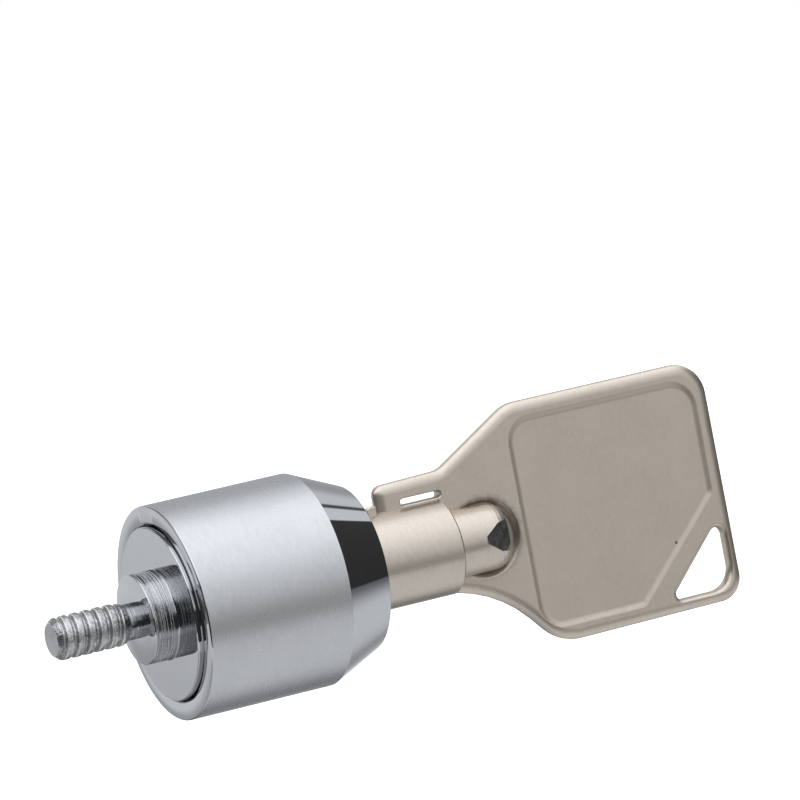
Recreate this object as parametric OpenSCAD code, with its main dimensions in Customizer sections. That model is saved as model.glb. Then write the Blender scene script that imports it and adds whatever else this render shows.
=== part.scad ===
// Tubular key cabinet lock with its key in place, in millimetres.
// Origin: centre of the shell's flat rear face. +Z is up, the key leaves towards -Y, the stud points to +Y.
// The modules work in the lock's own frame: z is the distance from the rear face towards the key, y is up.

/* [Shell] */
// Outer diameter of the round shell
shell_d = 21; // [20:0.1:24]
// Length of the shell, from its rear face to its nose
shell_l = 20.2; // [19.8:0.1:24]
// Length of the tapered nose
taper_l = 5.2; // [3:0.1:6]
// Diameter of the flat face at the nose
nose_d = 16.4; // [15:0.1:18]
// Diameter of the bore behind the rear disc
rear_bore_d = 17.3; // [16:0.1:17.8]
// Thickness of the lip round the keyway
lip_t = 1.9; // [1.4:0.1:2.4]

/* [Rear disc and boss] */
// Gap all round between the rear disc and the shell
disc_gap = 0.35; // [0.2:0.05:0.6]
// Height of the rear disc above the shell's rear face
disc_proud = 0.45; // [0.2:0.05:0.8]
// Thickness of the rear disc
disc_t = 1.7; // [1.2:0.1:2.2]
// Diameter of the boss on the rear disc
boss_d = 8.8; // [7:0.1:11]
// Length of the boss
boss_l = 2.5; // [1.5:0.1:5]

/* [Threaded stud] */
// Outer diameter of the thread
stud_d = 4.2; // [3.8:0.1:6]
// Length of the stud, from the boss to its tip
stud_l = 8.85; // [6:0.05:16]
// Diameter of the plain neck at the boss
neck_d = 3.5; // [3.3:0.1:3.7]
// Length of the plain neck
neck_l = 1.2; // [0.8:0.1:2]
// Length of the chamfer at the tip
tip_chamfer = 0.5; // [0.2:0.05:0.8]

/* [Key barrel] */
// Outer diameter of the key's round barrel
key_d = 9.5; // [9.2:0.05:9.8]
// Inner diameter of the barrel at its tip
key_bore_d = 6.8; // [6.6:0.05:7]
// How far the barrel reaches into the lock
key_depth = 6; // [5.6:0.1:6.4]
// Length of barrel that shows in front of the lock
key_show_l = 10.05; // [9:0.05:14]
// Diameter of the barrel's reduced rear end
spigot_d = 6.9; // [6.4:0.1:7.4]
// Length of the reduced rear end
spigot_l = 6.1; // [6:0.1:7]

/* [Key bow] */
// Thickness of the bow
bow_t = 1.6; // [1.4:0.1:2]
// Length of the bow's broad part along the key
bow_l = 22; // [21:0.1:28]
// Distance from the barrel's shoulder to the bow's broad part
bow_neck_l = 9; // [8.6:0.1:12]
// Height of the bow
bow_h = 24.2; // [23.6:0.1:28]
// Width of the raised rim round the bow's panel
rim_w = 1.9; // [1.6:0.1:2.2]
// Depth of the panel on each side of the bow
panel_depth = 0.3; // [0.15:0.05:0.45]
// Height of the finger above the barrel
finger_h = 2.6; // [2.4:0.1:3.2]
// Length of the finger along the barrel
finger_l = 6.65; // [6.2:0.05:7]
// Height of the slit under the finger
slit_h = 0.8; // [0.7:0.05:0.9]
// Width of the keyring hole along each straight side
ring_hole_w = 7.1; // [6.6:0.1:7.6]

/* [Drive nub] */
// Width of the nub that turns the rotor
nub_w = 1.5; // [1.2:0.1:1.8]
// Length of the nub along the key
nub_l = 1.5; // [1:0.1:1.8]
// Height of the nub outside the barrel
nub_out = 0.8; // [0.6:0.05:0.9]
// Height of the nub inside the barrel
nub_in = 0.7; // [0.5:0.05:0.9]

/* [Rotor and pins] */
// Diameter of the rotor's flange
flange_d = 12.6; // [12.2:0.1:13]
// Thickness of the rotor's flange
flange_t = 4; // [3.6:0.1:4.2]
// Diameter of the rotor's shaft
shaft_d = 5; // [4.6:0.1:5.2]
// Diameter of each pin
pin_d = 1.6; // [1.5:0.05:1.65]
// Length of each driver pin
driver_l = 3; // [2.6:0.1:3.2]
// Wire diameter of the driver springs
spring_wire_d = 0.22; // [0.15:0.01:0.25]
// Number of turns in each driver spring
spring_turns = 5; // [4:1:6]
// Depth of one step of the key's cuts
cut_step = 0.4; // [0.3:0.02:0.42]

/* [Fits] */
// Radial clearance of the turning parts
run_gap = 0.1; // [0.08:0.01:0.14]
// Clearance between faces that slide past each other
face_gap = 0.05; // [0.03:0.01:0.08]
// Radial clearance of a pin in its chamber
pin_gap = 0.05; // [0.03:0.01:0.06]

/* [Hidden] */
$fn = 96;
pin_count = 7;
cut_codes = [2, 5, 3, 6, 1, 4, 3];

// Finishes
chrome = [0.80, 0.81, 0.83];
steel = [0.66, 0.67, 0.69];
nickel = [0.74, 0.70, 0.65];
brass = [0.80, 0.66, 0.36];
bronze = [0.62, 0.47, 0.28];

// Cuts reach this far past the surface that they open
over = 0.5;

// Shell, from the nose back
nose_z = shell_l;
taper_z = nose_z - taper_l;
lip_z = nose_z - lip_t;
keyway_r = key_d / 2 + run_gap;
nub_top_gap = 0.15;
nub_room_r = key_d / 2 + nub_out + nub_top_gap;
nub_side_gap = 0.15;
nub_lip_gap = 0.2;

// Key and rotor
tip_gap = 0.2;
tip_z = nose_z - key_depth;
flange_front_z = tip_z - tip_gap;
flange_rear_z = flange_front_z - flange_t;
flange_bore_r = flange_d / 2 + run_gap;
post_gap = 0.2;
post_r = key_bore_d / 2 - post_gap;
post_recess = 0.3;
post_z = nose_z - post_recess;
post_slot_r = key_bore_d / 2 - nub_in - run_gap;
post_chamfer = 0.4;
shaft_flat_h = 2 * shaft_d / 5;

// Rear disc, from its outer face forward
disc_r = rear_bore_d / 2 - disc_gap;
disc_z = -disc_proud;
disc_in_z = disc_z + disc_t;
disc_chamfer = 0.25;
boss_z = disc_z - boss_l;
boss_chamfer = 0.12;
collar_d = 10.6;

// Retaining ring and washer, between the rear disc and the pin housing
ring_room = 0.7;
ring_t = 0.9;
ring_w = 2;
ring_seat = 0.55;
ring_open_angle = 44;
ring_ear_r = 1.1;
ring_eye_r = 0.45;
ring_r = rear_bore_d / 2 + ring_seat;
washer_t = 0.5;
washer_shaft_gap = 0.4;
housing_rear_z = disc_in_z + ring_room + ring_t;
washer_front_z = housing_rear_z - face_gap;
collar_z = washer_front_z - washer_t - face_gap;

// Pin housing and its chambers
housing_front_z = flange_rear_z - face_gap;
housing_r = rear_bore_d / 2 - face_gap;
housing_chamfer = 0.3;
chamber_floor_t = 0.9;
chamber_z = housing_rear_z + chamber_floor_t;
chamber_r = pin_d / 2 + pin_gap;
pin_circle_out = 0.05;
pin_circle_r = (key_d + key_bore_d) / 4 + pin_circle_out;
pin_end_chamfer = 0.15;
driver_z = housing_front_z - driver_l;
dog_w = 2;
dog_h = 1.2;
dog_in = 0.5;
dog_out = 0.45;
dog_r = [flange_bore_r + dog_in, rear_bore_d / 2 - dog_out];

// Driver springs
spring_side_gap = 0.05;
spring_r = chamber_r - spring_wire_d / 2 - spring_side_gap;
spring_end_gap = 0.03;
spring_sides = 6;
spring_rings_per_turn = 12;

// Stud
stud_tip_z = boss_z - stud_l;
shank_r = 1.5;
shank_in_shaft = 1.25;
shank_z = collar_z + shank_in_shaft;
shank_gap = 0.05;
shank_hole_r = shank_r + shank_gap;
shaft_floor_t = 0.3;
shaft_end_z = disc_z + shaft_floor_t;

// Key
cut_side_gap = 0.15;
cut_r = pin_d / 2 + cut_side_gap;
pin_seat_gap = 0.02;
shoulder_z = nose_z + key_show_l;
barrel_edge = 0.2;
barrel_bore_l = 12;
spigot_r = spigot_d / 2;
spigot_z = shoulder_z + spigot_l;
dome_l = 1.7;
dome_in = 1.1;
cup_r = 2.1;
cup_l = 3.2;
split_w = 3.5;
split_l = 3;
split_root_w = 0.7;
tongue_gap = 0.1;

spigot_profile = concat(
    [[spigot_r, shoulder_z]],
    [for (a = [0:15:90]) [spigot_r - dome_in * (1 - cos(a)), spigot_z - dome_l + dome_l * sin(a)]],
    [[0, spigot_z]]);

// Bow, seen from its side: first along the key, then up
bow_edge = 0.55;
bow_z = shoulder_z + bow_neck_l;
bow_end_z = bow_z + bow_l;
bow_top = bow_h / 2 + 0.2;
bow_bottom = bow_top - bow_h;
barrel_r = key_d / 2;
root_y = barrel_r - 1.45;
finger_z = shoulder_z - finger_l;
finger_y = barrel_r + finger_h;
window_in = 2.1;
window_z = spigot_z - window_in;
window_depth = 0.5;
tongue_t = bow_t - 2 * window_depth;
toe_r = 0.5;
toe_out = 0.48;
toe_y = barrel_r + 0.2;
bow_outline = [
    [finger_z, -root_y, 0.7],
    [shoulder_z + 0.53 * bow_neck_l, -barrel_r - 0.9, 13],
    [bow_z + 1.4, bow_bottom - 0.05, 5],
    [bow_end_z, bow_bottom + 0.15, 2.4],
    [bow_end_z - 0.12, bow_top, 3.4],
    [bow_z - 0.05, bow_top, 4],
    [shoulder_z + 0.65, finger_y + 0.1, 2.2],
    [finger_z + 0.05, finger_y - 0.1, 1]];
slit_front = 2.6;
slit_z = [finger_z + slit_front, shoulder_z + 0.25];
slit_y = [barrel_r + 0.15, barrel_r + slit_h];
slit_outline = [
    [slit_z[0], slit_y[0], 0.26],
    [slit_z[1], slit_y[0], 0.26],
    [slit_z[1], slit_y[1], 0.26],
    [slit_z[0], slit_y[1], 0.26]];
slit_edge = 0.12;
panel_z = [bow_z - 0.15, bow_end_z - rim_w + 0.2];
panel_y = [bow_bottom + rim_w - 0.25, bow_top - rim_w - 0.05];
panel_cut = 9.4;
panel_outline = [
    [panel_z[0], panel_y[0], 2.4],
    [panel_z[1] - panel_cut, panel_y[0], 0.7],
    [panel_z[1], panel_y[0] + panel_cut, 0.7],
    [panel_z[1], panel_y[1], 2.7],
    [panel_z[0], panel_y[1], 2.4]];
panel_wall = 0.3;
ring_hole_z = bow_end_z - 1.05;
ring_hole_y = bow_bottom + 1.35;
ring_hole_outline = [
    [ring_hole_z - ring_hole_w, ring_hole_y, 0.55],
    [ring_hole_z, ring_hole_y, 2.3],
    [ring_hole_z, ring_hole_y + ring_hole_w + 0.25, 0.8]];
ring_hole_edge = 0.35;
corner_step = 15;
edge_steps = 3;

// Depth of the key's cut over pin i, and where that pin's ends lie with the key home
function cut_depth(i) = cut_step * cut_codes[i - 1];
function pin_front_z(i) = tip_z + cut_depth(i) - pin_seat_gap;
function pin_angle(i) = 90 + (i - 1) * 360 / pin_count + 180 / pin_count;

// Outline with rounded corners. Each corner is [along, up, radius], anticlockwise; grow moves every edge out.
function unit(a) = a / norm(a);
function turned(a, angle) = [a[0] * cos(angle) - a[1] * sin(angle), a[0] * sin(angle) + a[1] * cos(angle)];
function place(c) = [c[0], c[1]];
function corner_arc(corners, i, grow) =
    let (n = len(corners),
         here = place(corners[i]),
         u = unit(here - place(corners[(i + n - 1) % n])),
         w = unit(place(corners[(i + 1) % n]) - here),
         turn = atan2(u[0] * w[1] - u[1] * w[0], u * w),
         side = sign(turn),
         radius = corners[i][2] + side * grow,
         outward = [u[1] + w[1], -u[0] - w[0]] / (1 + u * w),
         start = here + grow * outward - u * radius * tan(abs(turn) / 2),
         centre = start + side * radius * [-u[1], u[0]],
         steps = max(2, ceil(abs(turn) / corner_step)))
    [for (k = [0:steps]) centre + turned(start - centre, turn * k / steps)];
function rounded(corners, grow = 0) = [for (i = [0:len(corners) - 1]) each corner_arc(corners, i, grow)];

// Side surface through rings of points, all with the same count, stacked from low to high
function side_faces(rings, count) = [for (k = [0:rings - 2], j = [0:count - 1])
    [k * count + j, k * count + (j + 1) % count, (k + 1) * count + (j + 1) % count, (k + 1) * count + j]];

// Middle of an outline's corners, which sees the whole of its edge
function middle(corners) = [for (axis = [0, 1])
    [for (c = corners) c[axis]] * [for (c = corners) 1] / len(corners)];

// Solid through a stack of [height, grow] levels of one outline, each end closed by a fan round its middle
module lofted(corners, levels) {
    rings = [for (level = levels) [for (p = rounded(corners, level[1])) [p[0], p[1], level[0]]]];
    count = len(rings[0]);
    last = len(levels) - 1;
    ends = [for (level = [levels[0], levels[last]]) concat(middle(corners), level[0])];
    low_fan = [for (j = [0:count - 1]) [(last + 1) * count, (j + 1) % count, j]];
    high_fan = [for (j = [0:count - 1])
        [(last + 1) * count + 1, last * count + j, last * count + (j + 1) % count]];
    faces = concat(side_faces(last + 1, count), low_fan, high_fan);
    polyhedron(concat([for (ring = rings) each ring], ends),
        [for (f = faces) [for (j = [len(f) - 1:-1:0]) f[j]]]);
}

// Levels of a plate of thickness t whose edge is rounded to radius r
function edge_level(z, side, r, a) = [z + side * r * (1 - cos(a)), r * (sin(a) - 1)];
function round_edge(t, r) = concat(
    [for (k = [0:edge_steps]) edge_level(-t / 2, 1, r, 90 * k / edge_steps)],
    [for (k = [edge_steps:-1:0]) edge_level(t / 2, -1, r, 90 * k / edge_steps)]);

// Levels of a hole through a plate of thickness t whose edges are eased by r
function eased_hole(t, r) = [
    [-t / 2 - over, r], [-t / 2, r], [-t / 2 + r, 0], [t / 2 - r, 0], [t / 2, r], [t / 2 + over, r]];

// Places a bow outline in the lock's frame: drawn along and up, thick across
module on_bow_plane() {
    rotate([0, -90, 0]) children();
}

// Places what is drawn in the lock's frame into the part's frame
module in_place() {
    rotate([90, 0, 0]) children();
}

// Tube or rod between two distances from the rear face
module rod(r, z0, z1) {
    translate([0, 0, z0]) cylinder(r = r, h = z1 - z0);
}

// Box at the top of the lock's axis, w wide, from radius r0 to r1
module top_block(w, r0, r1, z0, z1) {
    translate([-w / 2, r0, z0]) cube([w, r1 - r0, z1 - z0]);
}

// Children repeated over the pin circle
module at_pin(i) {
    rotate([0, 0, pin_angle(i)]) translate([pin_circle_r, 0, 0]) children();
}

// Round pin with eased ends
module pin(z0, z1) {
    r = pin_d / 2;
    c = pin_end_chamfer;
    rod(r, z0 + c, z1 - c);
    translate([0, 0, z0]) cylinder(r1 = r - c, r2 = r, h = c);
    translate([0, 0, z1 - c]) cylinder(r1 = r, r2 = r - c, h = c);
}

module outer_shell() {
    color(chrome) in_place() difference() {
        union() {
            rod(shell_d / 2, 0, taper_z);
            translate([0, 0, taper_z]) cylinder(d1 = shell_d, d2 = nose_d, h = taper_l);
        }
        rod(rear_bore_d / 2, -over, housing_front_z);
        rod(ring_r + face_gap, housing_rear_z - ring_t - face_gap, housing_rear_z);
        rod(flange_bore_r, housing_front_z - over, flange_front_z + face_gap);
        rod(nub_room_r, flange_front_z - over, lip_z);
        rod(keyway_r, lip_z - over, nose_z + over);
        top_block(nub_w + 2 * nub_side_gap, 0, nub_room_r, lip_z - over, nose_z + over);
        mirror([0, 1, 0])
            top_block(dog_w + 2 * face_gap, dog_r[0] - face_gap, rear_bore_d / 2,
                housing_front_z - over, housing_front_z + dog_h + face_gap);
    }
}

module pin_housing() {
    color(brass) in_place() difference() {
        union() {
            rod(housing_r, housing_rear_z + housing_chamfer, housing_front_z);
            translate([0, 0, housing_rear_z])
                cylinder(r1 = housing_r - housing_chamfer, r2 = housing_r, h = housing_chamfer);
            mirror([0, 1, 0])
                top_block(dog_w, dog_r[0], dog_r[1], housing_front_z - over, housing_front_z + dog_h);
        }
        rod(shaft_d / 2 + run_gap, housing_rear_z - over, housing_front_z + over);
        for (i = [1:pin_count]) at_pin(i) rod(chamber_r, chamber_z, housing_front_z + over);
    }
}

module retaining_ring() {
    color(steel) in_place() difference() {
        union() {
            rotate([0, 0, 90 + ring_open_angle / 2])
                rotate_extrude(angle = 360 - ring_open_angle)
                    translate([ring_r - ring_w, housing_rear_z - ring_t]) square([ring_w, ring_t]);
            for (side = [-1, 1]) ring_ear(side) rod(ring_ear_r, housing_rear_z - ring_t, housing_rear_z);
        }
        for (side = [-1, 1]) ring_ear(side)
            rod(ring_eye_r, housing_rear_z - ring_t - over, housing_rear_z + over);
    }
}

// Place of one ear of the retaining ring
module ring_ear(side) {
    rotate([0, 0, 90 + side * (ring_open_angle / 2 + 7)])
        translate([ring_r - ring_w, 0, 0]) children();
}

module thrust_washer() {
    color(bronze) in_place() difference() {
        rod(collar_d / 2, collar_z + face_gap, washer_front_z);
        rod(shaft_d / 2 + washer_shaft_gap, collar_z, washer_front_z + over);
    }
}

module rotor() {
    color(brass) in_place() difference() {
        union() {
            rod(post_r, flange_front_z - over, post_z - post_chamfer);
            translate([0, 0, post_z - post_chamfer])
                cylinder(r1 = post_r, r2 = post_r - post_chamfer, h = post_chamfer);
            rod(flange_d / 2, flange_rear_z, flange_front_z);
            rod(shaft_d / 2, collar_z, flange_rear_z + over);
            intersection() {
                rod(shaft_d / 2, shaft_end_z, collar_z + over);
                translate([-shaft_flat_h, -shaft_d, shaft_end_z])
                    cube([2 * shaft_flat_h, 2 * shaft_d, collar_z + over - shaft_end_z]);
            }
        }
        top_block(nub_w + 2 * run_gap, post_slot_r, post_r + over, flange_front_z, post_z + over);
        for (i = [1:pin_count]) at_pin(i) rod(chamber_r, flange_rear_z - over, flange_front_z + over);
        rod(shank_r, shaft_end_z - over, shank_z);
    }
}

module drive_hub() {
    color(chrome) in_place() difference() {
        union() {
            translate([0, 0, disc_z])
                cylinder(r1 = disc_r - disc_chamfer, r2 = disc_r, h = disc_chamfer);
            rod(disc_r, disc_z + disc_chamfer, disc_in_z);
            rod(boss_d / 2, boss_z + boss_chamfer, disc_z + over);
            translate([0, 0, boss_z])
                cylinder(r1 = boss_d / 2 - boss_chamfer, r2 = boss_d / 2, h = boss_chamfer);
            rod(collar_d / 2, disc_in_z - over, collar_z);
        }
        rod(shank_hole_r, boss_z - over, shaft_end_z + over);
        intersection() {
            rod(shaft_d / 2, shaft_end_z, collar_z + over);
            translate([-shaft_flat_h, -shaft_d, shaft_end_z])
                cube([2 * shaft_flat_h, 2 * shaft_d, collar_z + over - shaft_end_z]);
        }
    }
}

module threaded_stud() {
    color(steel) in_place() union() {
        translate([0, 0, stud_tip_z])
            cylinder(r1 = stud_d / 2 - tip_chamfer, r2 = stud_d / 2, h = tip_chamfer);
        rod(stud_d / 2, stud_tip_z + tip_chamfer, boss_z - neck_l);
        rod(neck_d / 2, boss_z - neck_l - over, boss_z);
        rod(shank_r, boss_z - over, shank_z);
    }
}

module key_barrel() {
    color(nickel) in_place() difference() {
        union() {
            rotate_extrude() polygon(concat(
                [[0, tip_z], [barrel_r - barrel_edge, tip_z], [barrel_r, tip_z + barrel_edge],
                 [barrel_r, shoulder_z - barrel_edge], [barrel_r - barrel_edge, shoulder_z]],
                spigot_profile));
            top_block(nub_w, key_bore_d / 2 - nub_in, barrel_r + nub_out,
                lip_z - nub_lip_gap - nub_l, lip_z - nub_lip_gap);
        }
        difference() {
            rod(key_bore_d / 2, tip_z - over, tip_z + barrel_bore_l);
            top_block(nub_w, key_bore_d / 2 - nub_in, barrel_r,
                lip_z - nub_lip_gap - nub_l, lip_z - nub_lip_gap);
        }
        for (i = [1:pin_count]) at_pin(i) rod(cut_r, tip_z - over, tip_z + cut_depth(i));
        rod(cup_r, spigot_z - cup_l, spigot_z + over);
        for (side = [0, 180]) rotate([0, 0, side]) spigot_split();
    }
}

// Blunt V-shaped split from the spigot's mouth, on the side that faces the flat of the bow
module spigot_split() {
    half = [[0, split_root_w / 2], [-split_l / 2, 0.4 * split_w], [-split_l - over, split_w / 2]];
    translate([0, 0, spigot_z - split_l]) rotate([0, 90, 0]) linear_extrude(height = spigot_r + over)
        polygon(concat(half, [for (k = [2:-1:0]) [half[k][0], -half[k][1]]]));
}

module key_bow() {
    color(nickel) in_place() {
        difference() {
            on_bow_plane() {
                lofted(bow_outline, round_edge(bow_t, bow_edge));
                hull() for (z = [finger_z - toe_out, finger_z + toe_r]) translate([z, toe_y, 0])
                    cylinder(r = toe_r, h = bow_t - 2 * bow_edge, center = true);
            }
            on_bow_plane() {
                lofted(slit_outline, eased_hole(bow_t, slit_edge));
                lofted(ring_hole_outline, eased_hole(bow_t, ring_hole_edge));
                for (side = [0, 180]) rotate([side, 0, 0]) mirror([0, side / 180, 0])
                    lofted(panel_outline,
                        [[bow_t / 2 - panel_depth, -panel_wall], [bow_t / 2, 0], [bow_t / 2 + over, 0]]);
            }
            rod(barrel_r, finger_z - 3, shoulder_z);
            rotate_extrude()
                polygon(concat([[0, shoulder_z - over], [spigot_r, shoulder_z - over]], spigot_profile));
            for (side = [-1, 1]) translate([side * (tongue_t / 2 + bow_t), 0, window_z])
                rotate([0, 90, 0]) cylinder(r = spigot_r, h = 2 * bow_t, center = true);
        }
        bow_tongue();
    }
}

// Flat tongue of the bow, held in the cup at the spigot's end
module bow_tongue() {
    half = sqrt(pow(cup_r, 2) - pow(tongue_t / 2, 2)) - tongue_gap;
    translate([-tongue_t / 2, -half, spigot_z - cup_l + tongue_gap])
        cube([tongue_t, 2 * half, window_z + spigot_r + over - spigot_z + cup_l - tongue_gap]);
}

module key_pin(i) {
    color(brass) in_place() at_pin(i) pin(flange_rear_z, pin_front_z(i));
}

module driver_pin(i) {
    color(steel) in_place() at_pin(i) pin(driver_z, housing_front_z);
}

// Compression spring: its end turns lie close, its middle turns are open
module driver_spring(i) {
    z0 = chamber_z + spring_end_gap + spring_wire_d / 2;
    length = driver_z - spring_end_gap - spring_wire_d / 2 - z0;
    rings = spring_turns * spring_rings_per_turn + 1;
    points = [for (k = [0:rings - 1], j = [0:spring_sides - 1])
        let (u = k / (rings - 1),
             around = 360 * spring_turns * u,
             across = spring_r + spring_wire_d / 2 * cos(360 * j / spring_sides),
             rise = z0 + length * (u - 0.6 * sin(360 * u) / 360 * 180 / PI)
                 + spring_wire_d / 2 * sin(360 * j / spring_sides))
        [across * cos(around), across * sin(around), rise]];
    ends = [[for (j = [spring_sides - 1:-1:0]) j],
            [for (j = [0:spring_sides - 1]) (rings - 1) * spring_sides + j]];
    color(steel) in_place() at_pin(i)
        polyhedron(points, concat(side_faces(rings, spring_sides), ends));
}

outer_shell();
pin_housing();
retaining_ring();
thrust_washer();
rotor();
drive_hub();
threaded_stud();
key_barrel();
key_bow();
for (i = [1:pin_count]) {
    key_pin(i);
    driver_pin(i);
    driver_spring(i);
}
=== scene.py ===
"""Looks of a tubular key lock: its chromed shell, the rear disc with boss and stud, and the nickel key.

Lengths are in millimetres unless a name says otherwise. The lock's own frame has its origin at the centre
of the shell's rear face: "along" runs towards the key, "up" is the row's +Z and "across" is its +X.
"""

import logging
import math
from dataclasses import dataclass, fields
from enum import Enum
from functools import reduce

import bmesh
import bpy
from mathutils import Matrix, Vector

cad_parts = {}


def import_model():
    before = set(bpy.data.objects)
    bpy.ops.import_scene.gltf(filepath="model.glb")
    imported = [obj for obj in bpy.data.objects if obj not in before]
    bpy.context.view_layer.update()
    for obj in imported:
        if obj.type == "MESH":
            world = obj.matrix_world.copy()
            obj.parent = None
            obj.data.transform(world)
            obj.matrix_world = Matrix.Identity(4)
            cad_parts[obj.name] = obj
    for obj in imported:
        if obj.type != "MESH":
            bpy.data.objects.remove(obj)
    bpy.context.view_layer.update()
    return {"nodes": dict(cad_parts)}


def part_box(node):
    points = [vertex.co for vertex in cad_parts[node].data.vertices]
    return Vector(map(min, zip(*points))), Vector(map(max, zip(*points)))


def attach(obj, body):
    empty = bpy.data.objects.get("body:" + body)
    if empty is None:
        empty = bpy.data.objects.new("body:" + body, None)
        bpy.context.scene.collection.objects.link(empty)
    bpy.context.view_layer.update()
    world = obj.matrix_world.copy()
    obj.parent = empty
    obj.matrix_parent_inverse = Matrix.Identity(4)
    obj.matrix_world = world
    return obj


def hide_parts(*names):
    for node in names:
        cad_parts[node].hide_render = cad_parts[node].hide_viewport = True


LOG = logging.getLogger("tubular_lock")
MM = 0.001
SHARP_ANGLE = 32.0
WELD_METRES = 1e-7
HAIR = 1e-9

Rgb = tuple[float, float, float]
Point = tuple[float, float, float]
Corner = tuple[float, float, float]
Level = tuple[float, float]


class Body(Enum):
    """The moving bodies that the pieces ride on."""

    LOCK = "lock_body"
    PLUG = "plug"
    KEY = "key"


class Slot(Enum):
    """The record's material slots, listed with the new pieces."""

    SHELL = "shell_chrome"
    HUB = "hub_chrome"
    STUD = "stud_steel"
    KEY = "key_nickel"


def placed(across: float, up: float, along: float) -> Vector:
    """Gives the row-frame point, in metres, of a point in the lock's own frame."""
    return Vector((across, -along, up)) * MM


@dataclass(frozen=True)
class Reach:
    """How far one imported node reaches, in the lock's own frame."""

    back: float
    front: float
    low: float
    high: float
    half_width: float

    @classmethod
    def of(cls, node: str) -> "Reach":
        """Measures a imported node.

        Args:
            node: Name of the node.

        Returns:
            Its reach in millimetres.
        """
        low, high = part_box(node)
        return cls(-high[1] / MM, -low[1] / MM, low[2] / MM, high[2] / MM, high[0] / MM)


class Draft:
    """Rows of points and the faces between them, collected until the mesh is built."""

    def __init__(self) -> None:
        """Starts an empty draft."""
        self.points: list[Vector] = []
        self.faces: list[tuple[int, ...]] = []
        self.looks: list[int] = []

    def row(self, points: list[Point]) -> list[int]:
        """Adds a row of points.

        Args:
            points: Points as (across, up, along).

        Returns:
            The indices of the new points.
        """
        start = len(self.points)
        self.points += [placed(*point) for point in points]
        return list(range(start, len(self.points)))

    def strip(self, low: list[int], high: list[int], look: int = 0) -> None:
        """Joins two closed rows of equal length by quads.

        Args:
            low: Indices of the first row.
            high: Indices of the second row.
            look: Index of the finish on these faces.
        """
        count = len(low)
        for j in range(count):
            k = (j + 1) % count
            self.faces.append((low[j], low[k], high[k], high[j]))
            self.looks.append(look)

    def cap(self, row: list[int], look: int = 0) -> None:
        """Closes a row by one flat face."""
        self.faces.append(tuple(row))
        self.looks.append(look)

    def ring(self, rows: list[list[int]], looks: list[int]) -> None:
        """Joins rows one after another, and the last one to the first.

        Args:
            rows: Indices of the rows' points.
            looks: Index of the finish after each row.
        """
        for k, row in enumerate(rows):
            self.strip(row, rows[(k + 1) % len(rows)], looks[k])

    def stack(self, rows: list[list[Point]]) -> "Draft":
        """Adds the closed solid through a stack of closed rows of equal length.

        Args:
            rows: The rows of points, from one end to the other.

        Returns:
            The draft itself.
        """
        made = [self.row(points) for points in rows]
        for low, high in zip(made, made[1:]):
            self.strip(low, high)
        self.cap(made[0])
        self.cap(made[-1])
        return self

    def build(self, name: str, sharp_angle: float = SHARP_ANGLE) -> bpy.types.Object:
        """Makes the object, with smooth faces that split at sharp edges.

        Args:
            name: Name of the piece.
            sharp_angle: Angle, in degrees, past which an edge stays sharp.

        Returns:
            The new object, linked to the scene.
        """
        mesh = bpy.data.meshes.new(name)
        mesh.from_pydata(self.points, [], self.faces)
        mesh.polygons.foreach_set("material_index", self.looks)
        piece = bpy.data.objects.new(name, mesh)
        bpy.context.scene.collection.objects.link(piece)
        tidy_mesh(mesh, sharp_angle)
        return piece


def tidy_mesh(mesh: bpy.types.Mesh, sharp_angle: float) -> None:
    """Welds a mesh, turns its faces outwards and marks its sharp edges.

    Args:
        mesh: The mesh, changed in place.
        sharp_angle: Angle, in degrees, past which an edge stays sharp.
    """
    work = bmesh.new()
    work.from_mesh(mesh)
    bmesh.ops.remove_doubles(work, verts=work.verts, dist=WELD_METRES)
    bmesh.ops.dissolve_degenerate(work, edges=work.edges, dist=WELD_METRES)
    bmesh.ops.recalc_face_normals(work, faces=work.faces)
    for face in work.faces:
        face.smooth = True
    for edge in work.edges:
        edge.smooth = edge.calc_face_angle(math.pi) < math.radians(sharp_angle)
    work.to_mesh(mesh)
    work.free()


def flat_normals(piece: bpy.types.Object) -> None:
    """Keeps broad faces flat and lets the narrow ones beside them turn the light.

    Args:
        piece: The piece, which gets the modifier.
    """
    full_weight = 100
    modifier = piece.modifiers.new("broad faces lead", "WEIGHTED_NORMAL")
    modifier.mode = "FACE_AREA"
    modifier.weight = full_weight
    modifier.keep_sharp = True


def cut(piece: bpy.types.Object, tools: list[bpy.types.Object]) -> None:
    """Cuts tools out of a piece and removes them.

    Args:
        piece: The piece that is cut.
        tools: Closed objects that are taken away from it.
    """
    for tool in tools:
        modifier = piece.modifiers.new("cut", "BOOLEAN")
        modifier.operation = "DIFFERENCE"
        modifier.solver = "EXACT"
        modifier.object = tool
    bpy.context.view_layer.update()
    graph = bpy.context.evaluated_depsgraph_get()
    mesh = bpy.data.meshes.new_from_object(piece.evaluated_get(graph))
    piece.modifiers.clear()
    piece.data = mesh
    mesh.name = piece.name
    for tool in tools:
        bpy.data.objects.remove(tool)
    tidy_mesh(mesh, SHARP_ANGLE)


def quarter(steps: int) -> list[float]:
    """Lists the angles, in radians, of a quarter turn in even steps."""
    return [math.pi / 2 * k / steps for k in range(steps + 1)]


def even_angles(count: int) -> list[float]:
    """Lists evenly spaced angles round a full turn, in radians."""
    return [math.tau * k / count for k in range(count)]


def circle(radius: float, along: float, angles: list[float]) -> list[Point]:
    """Gives a round row of points.

    Args:
        radius: Radius of the row.
        along: Place of the row on the axis.
        angles: Angle of each point from straight up, in radians.

    Returns:
        The points as (across, up, along).
    """
    return [(radius * math.sin(a), radius * math.cos(a), along) for a in angles]


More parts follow.
